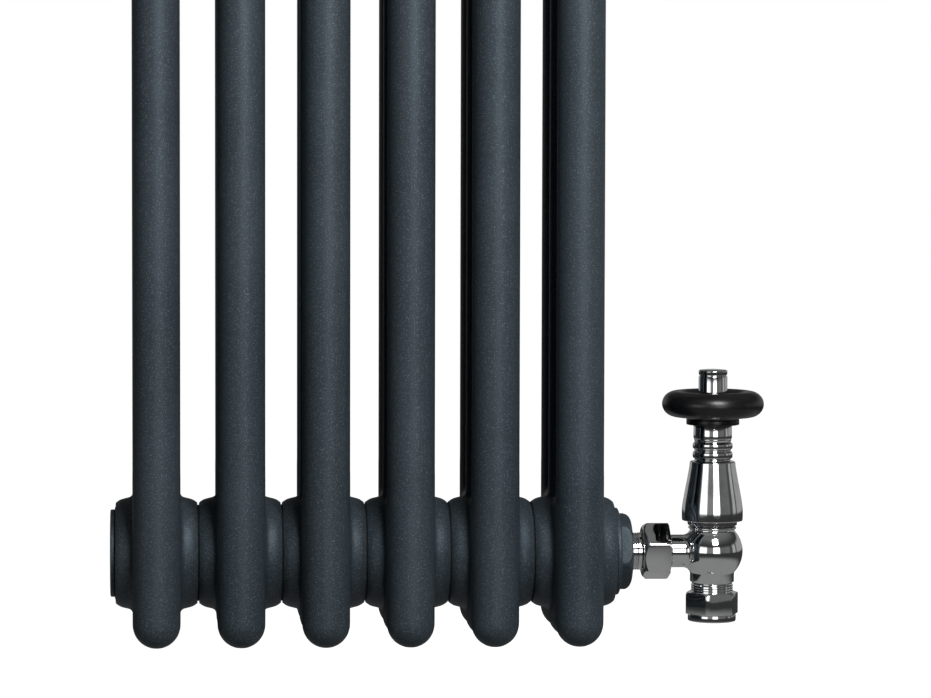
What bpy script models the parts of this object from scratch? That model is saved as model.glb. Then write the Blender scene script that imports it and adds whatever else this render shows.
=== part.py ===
"""Tubular steel column radiator, six sections three columns deep, with an angled handwheel valve.

Metres, +Z up. X runs along the radiator, with the valve at +X. Y = 0 is the wall plane and the
front faces -Y. Z = 0 is the height of the upper hub centres, where the wall brackets are fixed.
"""
import math

import bmesh
import bpy
from mathutils import Matrix, Vector

# ---------------------------------------------------------------- driving dimensions
SECTIONS = 6
PITCH = 0.045                    # from one section to the next
GASKET_GAP = 0.0016              # space between two hub faces, which the gasket fills
FIT = 0.0003                     # clearance between touching pieces
TUBE_R = 0.0127
TUBE_WALL = 0.0015
COLUMN_STEP = 0.038              # between the three tubes of a section
WALL_TO_CENTRE = 0.090           # from the wall to the middle row of tubes
HUB_SPACING = 0.507              # between upper and lower hub centres
HUB_TO_END = 0.0465              # from a hub centre to the rounded end of a section
HEAD_RISE = 0.036                # from a hub centre to the head's flat inner edge
HEAD_SKIN = 0.0002               # how far a head stands proud of its tubes
MERGE = 0.000005                 # points closer than this become one
HUB_R = 0.0303
HUB_FACE_R = 0.0263
HUB_BORE_R = 0.0212
NIPPLE_R = 0.0208
NIPPLE_BORE_R = 0.0165
NIPPLE_HALF = 0.014
VALVE_REACH = 0.054              # from the end of the block of sections to the valve's axis

BLOCK_END = SECTIONS * PITCH / 2
HUB_FACE_X = PITCH / 2 - GASKET_GAP / 2
CENTRE_Y = -WALL_TO_CENTRE
UPPER_Z = 0.0
LOWER_Z = -HUB_SPACING
VALVE = Vector((BLOCK_END + VALVE_REACH, CENTRE_Y, LOWER_Z))

TUBE_SIDES = 12
HUB_SIDES = 16
SMALL_SIDES = 12
RING_SIDES = 16

X_AXIS = Matrix.Rotation(math.pi / 2, 4, "Y")     # turns a shape made about +Z so that it lies along +X
MIRROR_X = Matrix.Rotation(-math.pi / 2, 4, "Y")  # the same along -X


# ---------------------------------------------------------------- scene and materials
def clear_scene():
    for obj in list(bpy.data.objects):
        bpy.data.objects.remove(obj, do_unlink=True)


def material(name, colour, roughness, metallic):
    mat = bpy.data.materials.new(name)
    mat.use_nodes = True
    shader = mat.node_tree.nodes["Principled BSDF"]
    shader.inputs["Base Color"].default_value = (*colour, 1.0)
    shader.inputs["Roughness"].default_value = roughness
    shader.inputs["Metallic"].default_value = metallic
    mat.diffuse_color = (*colour, 1.0)
    return mat


def make_materials():
    return {
        "paint": material("anthracite_powder_coat", (0.055, 0.072, 0.090), 0.45, 0.15),
        "chrome": material("polished_chrome", (0.82, 0.83, 0.84), 0.06, 1.0),
        "black": material("satin_black_wheel", (0.012, 0.012, 0.013), 0.35, 0.0),
        "brass": material("machined_brass", (0.72, 0.54, 0.24), 0.28, 1.0),
        "steel": material("plated_steel", (0.55, 0.56, 0.57), 0.35, 1.0),
        "rubber": material("black_seal_rubber", (0.02, 0.02, 0.021), 0.7, 0.0),
        "fibre": material("dark_fibre_gasket", (0.05, 0.048, 0.046), 0.8, 0.0),
    }


# ---------------------------------------------------------------- shapes
def turned(profile, sides, place=Matrix.Identity(4), phase=0.0):
    """Spin a closed outline of (radius, height) points about Z. A point at radius 0 lies on the axis."""
    bm = bmesh.new()
    start = Matrix.Rotation(phase, 4, "Z")
    verts = [bm.verts.new(start @ Vector((r, 0.0, h))) for r, h in profile]
    edges = []
    for first, second in zip(verts, verts[1:] + verts[:1]):
        if first.co.xy.length > 1e-7 or second.co.xy.length > 1e-7:
            edges.append(bm.edges.new((first, second)))
    bmesh.ops.spin(bm, geom=verts + edges, axis=(0, 0, 1), cent=(0, 0, 0), angle=math.tau,
                   steps=sides, use_merge=True, use_duplicate=False)
    bmesh.ops.remove_doubles(bm, verts=bm.verts, dist=1e-6)
    bmesh.ops.recalc_face_normals(bm, faces=bm.faces)
    bm.transform(place)
    return bm


def ring(inner, outer, low, high, sides, place=Matrix.Identity(4), phase=0.0):
    return turned([(inner, low), (outer, low), (outer, high), (inner, high)], sides, place, phase)


def rod(radius, low, high, sides, place=Matrix.Identity(4), phase=0.0):
    return turned([(0, low), (radius, low), (radius, high), (0, high)], sides, place, phase)


def hexagon(circumradius, low, high, chamfer, place=Matrix.Identity(4), phase=0.0):
    """A hexagonal bar with its two ends chamfered."""
    inset = circumradius - chamfer
    outline = [(0, low), (inset, low), (circumradius, low + chamfer / 2),
               (circumradius, high - chamfer / 2), (inset, high), (0, high)]
    return turned(outline, 6, place, phase)


def box(low, high):
    bm = bmesh.new()
    bmesh.ops.create_cube(bm, size=1.0)
    size = Vector(high) - Vector(low)
    middle = (Vector(high) + Vector(low)) / 2
    bm.transform(Matrix.Translation(middle) @ Matrix.Diagonal((*size, 1.0)))
    return bm


def prism(outline, width, centre_x):
    """Extrude an outline of (y, z) points along X, centred on centre_x."""
    bm = bmesh.new()
    verts = [bm.verts.new((centre_x - width / 2, y, z)) for y, z in outline]
    face = bm.faces.new(verts)
    extruded = bmesh.ops.extrude_face_region(bm, geom=[face])
    moved = [v for v in extruded["geom"] if isinstance(v, bmesh.types.BMVert)]
    bmesh.ops.translate(bm, verts=moved, vec=(width, 0, 0))
    bmesh.ops.recalc_face_normals(bm, faces=bm.faces)
    return bm


def stadium_head(radius, bottom, top, rings=2):
    """A head's loaf shape: a long round-ended outline whose lower edge rounds in under the three tubes."""
    bm = bmesh.new()
    arc = TUBE_SIDES // 2
    loops = []
    for step in range(-1, rings + 1):
        lean = max(step, 0) * math.pi / 2 / rings
        height = top if step < 0 else bottom + radius * (1 - math.sin(lean))
        reach = radius * math.cos(lean)
        loop = []
        for end in (1, -1):
            for k in range(arc + 1):
                angle = math.pi * k / arc
                x = end * reach * math.cos(angle)
                y = end * (COLUMN_STEP + reach * math.sin(angle))
                loop.append(bm.verts.new((x, y, height)))
        loops.append(loop)
    for upper, lower in zip(loops, loops[1:]):
        for k, vert in enumerate(upper):
            nxt = (k + 1) % len(upper)
            bm.faces.new((vert, upper[nxt], lower[nxt], lower[k]))
    bm.faces.new(loops[0])
    bmesh.ops.remove_doubles(bm, verts=bm.verts, dist=1e-6)
    bmesh.ops.dissolve_degenerate(bm, edges=bm.edges, dist=1e-6)
    bmesh.ops.recalc_face_normals(bm, faces=bm.faces)
    return bm


# ---------------------------------------------------------------- objects
def object_from(name, bm, mat=None, pivot=None):
    mesh = bpy.data.meshes.new(name)
    origin = Vector(pivot) if pivot is not None else Vector((0, 0, 0))
    bm.transform(Matrix.Translation(-origin))
    bm.to_mesh(mesh)
    bm.free()
    obj = bpy.data.objects.new(name, mesh)
    obj.location = origin
    bpy.context.scene.collection.objects.link(obj)
    if mat is not None:
        finish(obj, mat)
    return obj


def finish(obj, mat):
    obj.data.materials.clear()
    obj.data.materials.append(mat)
    obj.data.shade_smooth()
    obj.data.set_sharp_from_angle(angle=math.radians(35))


def combine(name, base, mat, add=(), cut=(), pivot=None):
    """Join the added shapes to the base, then cut the others out of it, and keep the result as one mesh."""
    obj = object_from(name, base)
    for operation, shapes in (("UNION", add), ("DIFFERENCE", cut)):
        for shape in shapes:
            helper = object_from(f"{name}_{operation.lower()}", shape)
            helper.hide_render = True
            helper.display_type = "WIRE"
            boolean_step(obj, helper, operation)
            bpy.data.objects.remove(helper, do_unlink=True)
    origin = Vector(pivot) if pivot is not None else Vector((0, 0, 0))
    join_flat_faces(obj.data)
    obj.data.transform(Matrix.Translation(-origin))
    obj.location = origin
    finish(obj, mat)
    return obj


def join_flat_faces(mesh):
    """Dissolve the edges that Booleans leave across flat faces."""
    bm = bmesh.new()
    bm.from_mesh(mesh)
    bmesh.ops.dissolve_limit(bm, angle_limit=math.radians(0.1), verts=bm.verts, edges=bm.edges)
    bm.to_mesh(mesh)
    bm.free()


def boolean_step(obj, helper, operation):
    """One Boolean on the object, kept as its new mesh with stray short edges merged away."""
    modifier = obj.modifiers.new(operation.title(), "BOOLEAN")
    modifier.operation = operation
    modifier.solver = "EXACT"
    modifier.object = helper
    bpy.context.view_layer.update()
    graph = bpy.context.evaluated_depsgraph_get()
    mesh = bpy.data.meshes.new_from_object(obj.evaluated_get(graph))
    obj.modifiers.clear()
    bm = bmesh.new()
    bm.from_mesh(mesh)
    bmesh.ops.remove_doubles(bm, verts=bm.verts, dist=MERGE)
    bmesh.ops.dissolve_degenerate(bm, edges=bm.edges, dist=MERGE)
    bm.to_mesh(mesh)
    bm.free()
    mesh.name = obj.name
    obj.data = mesh


# ---------------------------------------------------------------- radiator
def hub_outline():
    """Half of a hub's outer profile, from its face to its full radius, rounded like a quarter ellipse."""
    drop = HUB_R - HUB_FACE_R
    length = 0.0085
    points = []
    for degrees in (0, 45, 90):
        angle = math.radians(degrees)
        points.append((HUB_FACE_R + drop * math.sin(angle), HUB_FACE_X - length * (1 - math.cos(angle))))
    return points


def hub_shape(centre_z):
    half = hub_outline()
    lower = [(r, -h) for r, h in half]
    outline = [(0, -HUB_FACE_X)] + lower + half[::-1] + [(0, HUB_FACE_X)]
    return turned(outline, HUB_SIDES, Matrix.Translation((0, CENTRE_Y, centre_z)) @ X_AXIS)


def head_shape(radius, centre_z, upper, wall=0.0):
    bm = stadium_head(radius, -HUB_TO_END + wall, HEAD_RISE - wall)
    turn = Matrix.Rotation(math.pi, 4, "X") if upper else Matrix.Identity(4)
    bm.transform(Matrix.Translation((0, CENTRE_Y, centre_z)) @ turn)
    return bm


def column_rods(radius, overlap):
    """The three tubes, or with a smaller radius and a longer overlap, their bores."""
    low = LOWER_Z + HEAD_RISE - overlap
    high = UPPER_Z - HEAD_RISE + overlap
    return [rod(radius, low, high, TUBE_SIDES, Matrix.Translation((0, CENTRE_Y + row * COLUMN_STEP, 0)))
            for row in (-1, 0, 1)]


def make_sections(mats):
    """Welded sections: two heads and three tubes, hollow, with the water way open at the four hub faces."""
    head_r = TUBE_R + HEAD_SKIN
    outer = [head_shape(head_r, UPPER_Z, True), hub_shape(LOWER_Z), hub_shape(UPPER_Z)]
    outer += column_rods(TUBE_R, 0.004)
    hollow = [head_shape(head_r - TUBE_WALL, LOWER_Z, False, TUBE_WALL),
              head_shape(head_r - TUBE_WALL, UPPER_Z, True, TUBE_WALL)]
    hollow += column_rods(TUBE_R - 1.2 * TUBE_WALL, 0.010)
    for centre_z in (LOWER_Z, UPPER_Z):
        bore = rod(HUB_BORE_R, -PITCH, PITCH, HUB_SIDES, Matrix.Translation((0, CENTRE_Y, centre_z)) @ X_AXIS)
        hollow.append(bore)
    first = combine("section_1", head_shape(head_r, LOWER_Z, False), mats["paint"], outer, hollow)
    for number in range(1, SECTIONS + 1):
        obj = first if number == 1 else bpy.data.objects.new(f"section_{number}", first.data)
        if number > 1:
            bpy.context.scene.collection.objects.link(obj)
        obj.location.x = (number - (SECTIONS + 1) / 2) * PITCH


def nipple_shape(place):
    """The plain tube of a double-ended nipple, half in each of two sections."""
    bm = ring(NIPPLE_BORE_R, NIPPLE_R, -NIPPLE_HALF, NIPPLE_HALF, RING_SIDES)
    bm.transform(place)
    return bm


def make_joints(mats):
    """Nipples, each with two driving lugs in its bore, and gaskets at the five joints, above and below."""
    for level, centre_z in (("upper", UPPER_Z), ("lower", LOWER_Z)):
        for number in range(1, SECTIONS):
            x = (number - SECTIONS / 2) * PITCH
            place = Matrix.Translation((x, CENTRE_Y, centre_z)) @ X_AXIS
            lugs = [box((-0.004, side * (NIPPLE_BORE_R - 0.0005) - 0.002, -0.003),
                        (0.004, side * (NIPPLE_BORE_R - 0.0005) + 0.002, 0.003)) for side in (-1, 1)]
            for lug in lugs:
                lug.transform(place)
            combine(f"nipple_{level}_{number}", nipple_shape(place), mats["steel"], lugs)
            half = GASKET_GAP / 2 - FIT
            gasket = ring(NIPPLE_R + FIT, HUB_FACE_R - FIT, -half, half, RING_SIDES, place)
            object_from(f"gasket_{level}_{number}", gasket, mats["fibre"])


# ---------------------------------------------------------------- end fittings
FLANGE_R = 0.0236
FLANGE_LENGTH = 0.0024
THREAD_LENGTH = 0.013
BUSH_HEX_R = 0.0213
BUSH_HEX_LENGTH = 0.0066
BUSH_HEX_TURN = math.radians(43)
TAIL_THREAD_R = 0.0101
VENT_THREAD_R = 0.0085


def end_place(side, centre_z):
    """Where an end fitting sits: its own +Z points out of the radiator, from the nominal end plane."""
    turn = X_AXIS if side > 0 else MIRROR_X
    return Matrix.Translation((side * BLOCK_END, CENTRE_Y, centre_z)) @ turn


def end_gasket(name, side, centre_z, mats):
    low = -GASKET_GAP / 2 + FIT
    shape = ring(NIPPLE_R + FIT, FLANGE_R + 0.0012, low, -FIT, RING_SIDES, end_place(side, centre_z))
    object_from(name, shape, mats["fibre"])


def fitting_outline():
    """The threaded spigot and the rounded flange that every end fitting shares."""
    return [(0, -THREAD_LENGTH), (NIPPLE_R, -THREAD_LENGTH), (NIPPLE_R, 0), (FLANGE_R, 0),
            (FLANGE_R, 0.0014), (FLANGE_R - 0.001, FLANGE_LENGTH), (0, FLANGE_LENGTH)]


def make_end_fittings(mats):
    """The valve's reducing bush, two blanking plugs, and the vent bush with its bleed valve."""
    place = end_place(1, LOWER_Z)
    hex_bar = hexagon(BUSH_HEX_R, 0.001, FLANGE_LENGTH + BUSH_HEX_LENGTH, 0.0012, place, BUSH_HEX_TURN)
    bore = rod(TAIL_THREAD_R + FIT, -0.03, 0.03, SMALL_SIDES, place)
    combine("valve_bush", turned(fitting_outline(), RING_SIDES, place), mats["paint"], [hex_bar], [bore])
    end_gasket("valve_bush_gasket", 1, LOWER_Z, mats)
    for name, side, centre_z in (("plug_lower_left", -1, LOWER_Z), ("plug_upper_right", 1, UPPER_Z)):
        place = end_place(side, centre_z)
        socket = rod(0.0069, -0.008, 0.03, 6, place)
        combine(name, turned(fitting_outline(), RING_SIDES, place), mats["paint"], [], [socket])
        end_gasket(f"{name}_gasket", side, centre_z, mats)
    place = end_place(-1, UPPER_Z)
    bore = rod(VENT_THREAD_R + FIT, -0.03, 0.03, SMALL_SIDES, place)
    combine("vent_bush", turned(fitting_outline(), RING_SIDES, place), mats["paint"], [], [bore])
    end_gasket("vent_bush_gasket", -1, UPPER_Z, mats)
    make_bleed_valve(place, mats)


def make_bleed_valve(place, mats):
    """A small brass body in the vent bush, bored through, with a square-headed screw that seals its seat."""
    face = FLANGE_LENGTH + FIT
    outline = [(0, -0.011), (VENT_THREAD_R, -0.011), (VENT_THREAD_R, face), (0.0105, face),
               (0.0105, face + 0.0018), (0.0098, face + 0.0024), (0, face + 0.0024)]
    screw_bore = rod(0.0036, -0.004, 0.03, SMALL_SIDES, place)
    seat_bore = rod(0.0016, -0.03, 0.01, SMALL_SIDES, place)
    combine("bleed_valve_body", turned(outline, SMALL_SIDES, place), mats["chrome"], [], [screw_bore, seat_bore])
    outline = [(0, -0.0036), (0.0012, -0.0036), (0.0032, -0.0016), (0.0032, 0.0015), (0, 0.0015)]
    square = rod(0.0030, 0.001, 0.0055, 4, place)
    combine("bleed_screw", turned(outline, SMALL_SIDES, place), mats["brass"], [square], [], place.translation)


# ---------------------------------------------------------------- valve
BALL_R = 0.0165
WAIST_R = 0.0124
WAIST_Z = 0.0108
STUB_R = 0.0119
STUB_LOW = -0.0300
NECK_R = 0.0089
NUT_IN = -0.0240                  # union nut's ends, from the valve's axis
NUT_OUT = -0.0383
NECK_END = -0.0320                # end of the body's threaded neck, inside the nut
NECK_THREAD_IN = -0.0235          # where that thread stops, just outside the nut
UNION_HEX_R = 0.0160
UNION_HEX_TURN = math.radians(70)
UNION_THREAD_R = 0.0122
PIPE_R = 0.0075
PIPE_NUT_HEX_R = 0.0150
PIPE_NUT_TURN = math.radians(-110)
PIPE_NUT_TOP = -0.0223
PIPE_NUT_BOTTOM = -0.0336
PIPE_COLLAR_BOTTOM = -0.0380
PIPE_COLLAR_R = 0.0130
STEM_R = 0.0030


def valve_place(extra=Matrix.Identity(4)):
    return Matrix.Translation(VALVE) @ extra


def ball_outline():
    """The body's outline about the vertical axis: stub below, ball in the middle, collar on top."""
    points = [(0, STUB_LOW), (STUB_R - 0.0005, STUB_LOW), (STUB_R - 0.0005, -0.0166), (STUB_R - 0.0011, -0.0160),
              (STUB_R - 0.0011, -0.0146), (STUB_R, -0.0142)]
    low = math.asin(-0.0114 / BALL_R)
    high = math.asin(WAIST_Z / BALL_R)
    steps = 5
    for step in range(steps + 1):
        angle = low + (high - low) * step / steps
        points.append((BALL_R * math.cos(angle), BALL_R * math.sin(angle)))
    points += [(WAIST_R, 0.0118), (0.0130, 0.0122), (0.0130, 0.0138), (0, 0.0138)]
    return points


def make_valve_body(mats):
    """Forged angle body: pipe way up from below, a seat in the middle, and a way out to the union."""
    place = valve_place()
    along = valve_place(X_AXIS)
    neck = turned([(0, NECK_END), (UNION_THREAD_R, NECK_END), (UNION_THREAD_R, NECK_THREAD_IN),
                   (NECK_R, NECK_THREAD_IN + 0.0008), (NECK_R, -0.0160), (NECK_R + 0.0012, -0.0130), (NECK_R + 0.0012, -0.0100),
                   (0, -0.0100)], RING_SIDES, along)
    cuts = [rod(0.0098, 0.0040, 0.0300, SMALL_SIDES, place),           # headwork's bore
            rod(0.0085, -0.0065, 0.0050, SMALL_SIDES, place),          # chamber above the seat
            rod(0.0055, -0.0280, -0.0030, SMALL_SIDES, place),         # way up from the pipe
            rod(PIPE_R + FIT, -0.0400, -0.0180, SMALL_SIDES, place),   # pipe socket
            turned([(0, -0.0310), (0.0102, -0.0310), (0.0070, -0.0262), (0, -0.0262)], SMALL_SIDES, place),
            rod(0.0052, -0.0400, 0.0, SMALL_SIDES, along)]             # way out to the union
    combine("valve_body", turned(ball_outline(), RING_SIDES, place), mats["chrome"], [neck], cuts)


def make_union(mats):
    """The tailpiece that screws into the bush, its captive nut and the seal between it and the body."""
    along = valve_place(X_AXIS)
    flange_face = NECK_END - 0.0016
    tail_end = -VALVE_REACH - 0.010
    outline = [(0.0060, flange_face), (0.0116, flange_face), (0.0116, flange_face - 0.0022),
               (0.0088, flange_face - 0.0022), (0.0088, NUT_OUT - 0.0004), (TAIL_THREAD_R, NUT_OUT - 0.0008),
               (TAIL_THREAD_R, tail_end), (0.0060, tail_end)]
    object_from("union_tailpiece", turned(outline, SMALL_SIDES, along), mats["chrome"])
    seal = ring(0.0062, 0.0112, flange_face + FIT, NECK_END - FIT, SMALL_SIDES, along)
    object_from("union_seal", seal, mats["rubber"])
    nut = hexagon(UNION_HEX_R, NUT_OUT, NUT_IN, 0.0022, along, UNION_HEX_TURN)
    lip = flange_face - 0.0022 - FIT
    cuts = [rod(UNION_THREAD_R + FIT, lip, NUT_IN + 0.01, RING_SIDES, along),
            rod(TAIL_THREAD_R + FIT, NUT_OUT - 0.01, lip + 0.001, RING_SIDES, along)]
    combine("union_nut", nut, mats["chrome"], [], cuts)


def make_pipe_connection(mats):
    """The compression nut with its collar, and the olive that it squeezes onto the pipe."""
    place = valve_place()
    nut = hexagon(PIPE_NUT_HEX_R, PIPE_NUT_BOTTOM, PIPE_NUT_TOP, 0.0012, place, PIPE_NUT_TURN)
    collar = turned([(0, PIPE_COLLAR_BOTTOM), (PIPE_COLLAR_R - 0.001, PIPE_COLLAR_BOTTOM),
                     (PIPE_COLLAR_R, PIPE_COLLAR_BOTTOM + 0.001), (PIPE_COLLAR_R, PIPE_NUT_BOTTOM + 0.001),
                     (0, PIPE_NUT_BOTTOM + 0.001)], RING_SIDES, place)
    cuts = [rod(STUB_R - 0.0005 + FIT, -0.0328, 0.0, RING_SIDES, place),
            rod(PIPE_R + FIT, -0.0500, -0.0300, SMALL_SIDES, place)]
    combine("compression_nut", nut, mats["chrome"], [collar], cuts)
    olive = [(PIPE_R + FIT, -0.0324), (0.0092, -0.0324), (0.0101, -0.0314), (0.0085, -0.0290), (PIPE_R + FIT, -0.0284)]
    object_from("compression_olive", turned(olive, RING_SIDES, place), mats["brass"])


def make_headwork(mats):
    """Brass headwork with its seals and gland nut, and the moving stem, disc and washer inside it."""
    place = valve_place()
    outline = [(0.0070, 0.0046), (0.0095, 0.0046), (0.0095, 0.0142), (0.0118, 0.0142), (0.0118, 0.0200),
               (0.0085, 0.0210), (0.0085, 0.0400), (0.0033, 0.0400), (0.0033, 0.0180), (0.0070, 0.0180)]
    object_from("headwork", turned(outline, SMALL_SIDES, place), mats["brass"])
    gland_bore = rod(0.0033, 0.0300, 0.0600, SMALL_SIDES, place)
    combine("gland_nut", hexagon(0.0080, 0.0403, 0.0470, 0.0010, place), mats["brass"], [], [gland_bore])
    seal = ring(0.0033, 0.0060, 0.0473, 0.0491, SMALL_SIDES, place)
    object_from("stem_seal", seal, mats["rubber"])
    stem = [(0, 0.0085), (0.0024, 0.0085), (0.0024, 0.0168), (STEM_R, 0.0168), (STEM_R, 0.0838), (0, 0.0838)]
    object_from("valve_stem", turned(stem, SMALL_SIDES, place), mats["brass"], VALVE)
    disc = [(0, -0.0043), (0.0045, -0.0043), (0.0064, -0.0025), (0.0064, 0.0125), (0.0027, 0.0125),
            (0.0027, 0.0050), (0, 0.0050)]
    object_from("valve_disc", turned(disc, SMALL_SIDES, place), mats["brass"], VALVE)
    washer = rod(0.0062, -0.0062, -0.0046, SMALL_SIDES, place)
    object_from("disc_washer", washer, mats["rubber"], VALVE)


def make_shroud(mats):
    """The chrome bell that hides the headwork, and the beaded neck ring on top of it."""
    place = valve_place()
    outer = [(0.0134, 0.0143), (0.0134, 0.0166), (0.0161, 0.0166), (0.0165, 0.0180), (0.0164, 0.0240),
             (0.0153, 0.0300), (0.0134, 0.0420), (0.0124, 0.0470), (0.0116, 0.0489)]
    inner = [(0.0097, 0.0489), (0.0112, 0.0440), (0.0144, 0.0240), (0.0127, 0.0143)]
    object_from("bell_shroud", turned(outer + inner, RING_SIDES, place), mats["chrome"])
    bead_outline = [(0.0064, 0.0492), (0.0097, 0.0492), (0.0097, 0.0514), (0.0108, 0.0526), (0.0098, 0.0540),
                    (0.0098, 0.0561), (0.0108, 0.0575), (0.0098, 0.0590), (0.0098, 0.0606), (0.0064, 0.0606)]
    object_from("beaded_neck", turned(bead_outline, RING_SIDES, place), mats["chrome"])


WHEEL_MIDDLE_Z = 0.0800
RIM_CENTRE_R = 0.0199
RIM_HALF_WIDTH = 0.00765
RIM_HALF_HEIGHT = 0.0070


def wheel_outline():
    """Boss, thin web and an oval rim, around the stem's bore."""
    points = [(0.0033, 0.0688), (0.0143, 0.0688), (0.0143, 0.0718)]
    for degrees in range(-112, 169, 40):
        angle = math.radians(degrees)
        points.append((RIM_CENTRE_R + RIM_HALF_WIDTH * math.cos(angle),
                       WHEEL_MIDDLE_Z + RIM_HALF_HEIGHT * math.sin(angle)))
    points += [(0.0122, 0.0816), (0.0033, 0.0816)]
    return points


def make_handwheel(mats):
    """The wheel, the ferrule under it, its retaining screw and the cap on top: all turn with the stem."""
    place = valve_place()
    ferrule = ring(0.0033, 0.0104, 0.0612, 0.0685, RING_SIDES, place)
    object_from("wheel_ferrule", ferrule, mats["chrome"], VALVE)
    object_from("handwheel", turned(wheel_outline(), RING_SIDES, place), mats["black"], VALVE)
    washer = [(0.0033, 0.0819), (0.0119, 0.0819), (0.0119, 0.0828), (0.0112, 0.0836), (0.0033, 0.0839)]
    object_from("wheel_washer", turned(washer, RING_SIDES, place), mats["chrome"], VALVE)
    cap = [(0.0060, 0.0842), (0.0078, 0.0842), (0.0078, 0.0978), (0.0070, 0.0988), (0, 0.0988), (0, 0.0960),
           (0.0060, 0.0960)]
    object_from("wheel_cap", turned(cap, SMALL_SIDES, place), mats["chrome"], VALVE)
    screw = turned([(0, 0.0842), (0.0052, 0.0842), (0.0052, 0.0870), (0.0044, 0.0882), (0, 0.0882)], SMALL_SIDES, place)
    object_from("wheel_screw", screw, mats["steel"], VALVE)


# ---------------------------------------------------------------- wall brackets
BRACKET_WIDTH = 0.014
BRACKET_THICK = 0.005
SADDLE_R = HUB_R + 0.0004
PLATE_LOW = -0.062
PLATE_HIGH = 0.045
PLATE_THICK = 0.005
PLATE_WIDTH = 0.040
HOLE_R = 0.0045
HOLE_HEIGHTS = (0.0335, 0.0125)


def saddle_outline():
    """Side view of a bracket arm: out from the wall under the hubs, and up in front of them as a hook."""
    inside = []
    outside = []
    for step in range(9):
        angle = math.radians(-162 + step * 18)
        direction = Vector((math.cos(angle), math.sin(angle)))
        inside.append((CENTRE_Y + SADDLE_R * direction.x, SADDLE_R * direction.y))
        outside.append((CENTRE_Y + (SADDLE_R + BRACKET_THICK) * direction.x, (SADDLE_R + BRACKET_THICK) * direction.y))
    root = -PLATE_THICK + 0.002
    return inside + [(root, -0.0105), (root, PLATE_LOW + 0.006)] + outside[:6][::-1]


def make_brackets(mats):
    """Two brackets under the upper hubs, each with a wall plate and two screw holes."""
    for name, joint in (("wall_bracket_left", 1), ("wall_bracket_right", SECTIONS - 1)):
        x = (joint - SECTIONS / 2) * PITCH
        arm = prism(saddle_outline(), BRACKET_WIDTH, x)
        plate = box((x - PLATE_WIDTH / 2, -PLATE_THICK, PLATE_LOW), (x + PLATE_WIDTH / 2, 0, PLATE_HIGH))
        upright = Matrix.Rotation(math.pi / 2, 4, "X")
        holes = [rod(HOLE_R, -0.02, 0.02, SMALL_SIDES, Matrix.Translation((x, 0, height)) @ upright)
                 for height in HOLE_HEIGHTS]
        combine(name, plate, mats["paint"], [arm], holes)


def main():
    clear_scene()
    mats = make_materials()
    make_sections(mats)
    make_joints(mats)
    make_end_fittings(mats)
    make_valve_body(mats)
    make_union(mats)
    make_pipe_connection(mats)
    make_headwork(mats)
    make_shroud(mats)
    make_handwheel(mats)
    make_brackets(mats)


main()
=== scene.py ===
"""Looks for a six-section column radiator and its angled handwheel valve.

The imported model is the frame. Every visible piece below is modelled at the place of the CAD node that it
stands for, gets a procedural finish, and rides on that node's body. Metres, +Z up, the front faces -Y.
Outlines are pairs of radius and height in millimetres about the axis that a piece is turned on.
"""

import logging
import math
from dataclasses import dataclass
from enum import Enum
from typing import Any, Callable, Optional, Sequence, Union

import bpy
from bpy.types import Material, NodeSocket, NodeTree, Object
from mathutils import Matrix, Vector


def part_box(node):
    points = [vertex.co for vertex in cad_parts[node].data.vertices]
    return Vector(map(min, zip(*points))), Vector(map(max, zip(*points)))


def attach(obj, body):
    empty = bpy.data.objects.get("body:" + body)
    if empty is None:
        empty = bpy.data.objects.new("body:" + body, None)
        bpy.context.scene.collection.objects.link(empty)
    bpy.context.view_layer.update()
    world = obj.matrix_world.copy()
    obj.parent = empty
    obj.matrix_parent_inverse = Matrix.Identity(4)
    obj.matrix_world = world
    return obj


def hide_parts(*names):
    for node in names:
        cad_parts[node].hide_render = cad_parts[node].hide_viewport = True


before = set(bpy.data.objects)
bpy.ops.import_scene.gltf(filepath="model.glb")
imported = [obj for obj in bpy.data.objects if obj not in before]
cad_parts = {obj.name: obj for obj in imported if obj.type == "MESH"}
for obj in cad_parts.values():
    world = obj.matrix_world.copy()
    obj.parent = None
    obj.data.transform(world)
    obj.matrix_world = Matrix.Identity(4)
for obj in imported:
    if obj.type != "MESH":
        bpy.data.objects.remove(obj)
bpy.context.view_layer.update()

log = logging.getLogger("radiator")

Point = tuple[float, float]
Colour = tuple[float, float, float, float]

MM = 0.001
MERGE = 2e-6                                       # points closer than this are one point
UPRIGHT = Matrix.Identity(4)
ALONG_X = Matrix.Rotation(math.pi / 2, 4, "Y")     # a piece's own +Z points along +X
AGAINST_X = Matrix.Rotation(-math.pi / 2, 4, "Y")  # a piece's own +Z points along -X


class Body(Enum):
    """The CAD bodies that pieces ride on."""

    RADIATOR = "radiator"
    WHEEL = "wheel"
    BLEED_SCREW = "bleed_screw"


class Slot(Enum):
    """The record's material slots."""

    PAINT = "paint"
    CHROME = "chrome"
    BLACK = "black"
    BRASS = "brass"
    STEEL = "steel"
    RUBBER = "rubber"
    FIBRE = "fibre"


class Cut(Enum):
    """What a helper solid does to a piece."""

    JOIN = "UNION"
    REMOVE = "DIFFERENCE"
    KEEP = "INTERSECT"


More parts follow.
